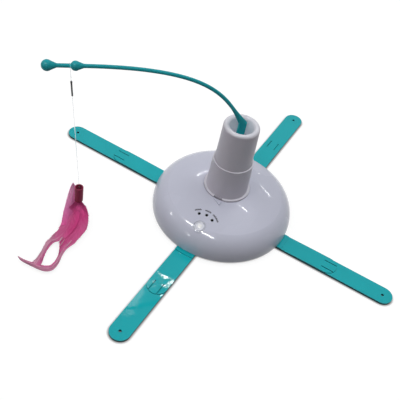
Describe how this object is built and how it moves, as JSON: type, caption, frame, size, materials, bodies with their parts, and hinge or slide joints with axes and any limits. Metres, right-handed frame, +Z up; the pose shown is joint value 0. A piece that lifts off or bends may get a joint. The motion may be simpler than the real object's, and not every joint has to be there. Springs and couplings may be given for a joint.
{
  "type": "rotating feather cat toy",
  "caption": "Motorised cat toy: domed battery base on clip-on strip legs, tapered tower with a turning head, curved wand and a feather lure that hangs on a thin line.",
  "frame": {"origin": "on the floor under the tower's axis", "axes": "+Z up along the tower, +X and +Y along two of the legs"},
  "size_m": [0.405, 0.405, 0.1941],
  "materials": {
    "dome_plastic": "gloss",
    "tower_plastic": "satin",
    "leg_plastic": "gloss",
    "wand_plastic": "satin",
    "button_plastic": "gloss",
    "dark_plastic": "satin",
    "gear_plastic": "satin",
    "foot_rubber": "matte",
    "cell_wrap": "satin",
    "board": "satin",
    "steel": "brushed",
    "bush_brass": "satin",
    "line_nylon": "clear",
    "crimp": "satin",
    "ferrule_plastic": "satin",
    "feather": "soft"
  },
  "bodies": {
    "base": {"upper_dome": "dome_plastic", "base_plate": "tower_plastic", "battery_door": "tower_plastic", "door_screw": "steel", "housing_screws": "steel", "rubber_feet": "foot_rubber", "battery_cell_1": "cell_wrap", "battery_cell_2": "cell_wrap", "battery_cell_3": "cell_wrap", "battery_contacts": "steel", "circuit_board": "board", "board_screws": "steel", "indicator_leds": "dark_plastic", "tact_switch": "dark_plastic", "tower_column": "tower_plastic", "shaft_bush": "bush_brass", "motor": "steel", "gear_plate": "dark_plastic", "gear_plate_screws": "steel", "idler_pin": "steel", "leg_right_inner": "leg_plastic", "leg_back_inner": "leg_plastic", "leg_left_inner": "leg_plastic", "leg_front_inner": "leg_plastic", "leg_right_outer": "leg_plastic", "leg_back_outer": "leg_plastic", "leg_left_outer": "leg_plastic", "leg_front_outer": "leg_plastic"},
    "button": {"push_button": "button_plastic", "switch_plunger": "dark_plastic"},
    "head": {"rotating_head": "tower_plastic", "wand": "wand_plastic", "output_shaft": "steel", "output_gear": "gear_plastic"},
    "idler": {"reduction_gear": "gear_plastic"},
    "pinion": {"motor_pinion": "bush_brass", "motor_shaft": "steel"},
    "loop": {"line_loop": "line_nylon"},
    "lure": {"line_crimp": "crimp", "hanging_line": "line_nylon", "feather_ferrule": "ferrule_plastic", "quill_bundle": "feather", "feather_plume": "feather", "feather_wisp": "feather"}
  },
  "joints": [
    {"name": "head_spin", "type": "hinge", "parent": "base", "child": "head", "pos_m": [0, 0, 0.078], "axis": [0, 0, 1], "continuous": true},
    {"name": "idler_spin", "type": "hinge", "parent": "base", "child": "idler", "pos_m": [-0.018, 0, 0.032], "axis": [0, 0, 1], "continuous": true},
    {"name": "pinion_spin", "type": "hinge", "parent": "base", "child": "pinion", "pos_m": [-0.0261, 0.01403, 0.032], "axis": [0, 0, 1], "continuous": true},
    {"name": "button_press", "type": "slide", "parent": "base", "child": "button", "axis": [-0.0229, 0.4378, -0.8988], "range_m": [0, 0.0006], "stiffness_N_per_m": 400},
    {"name": "line_swing_round", "type": "hinge", "parent": "head", "child": "loop", "pos_m": [-0.1269, -0.10648, 0.189], "axis": [-0.766, -0.6428, 0], "range_deg": [0, 35]},
    {"name": "lure_swing_out", "type": "hinge", "parent": "loop", "child": "lure", "pos_m": [-0.12573, -0.10565, 0.17146], "axis": [-0.6424, 0.7664, -0.0067], "range_deg": [0, 40]}
  ],
  "couplings": [
    {"joint": "idler_spin", "follows": "head_spin", "ratio": -4},
    {"joint": "pinion_spin", "follows": "head_spin", "ratio": 14}
  ]
}
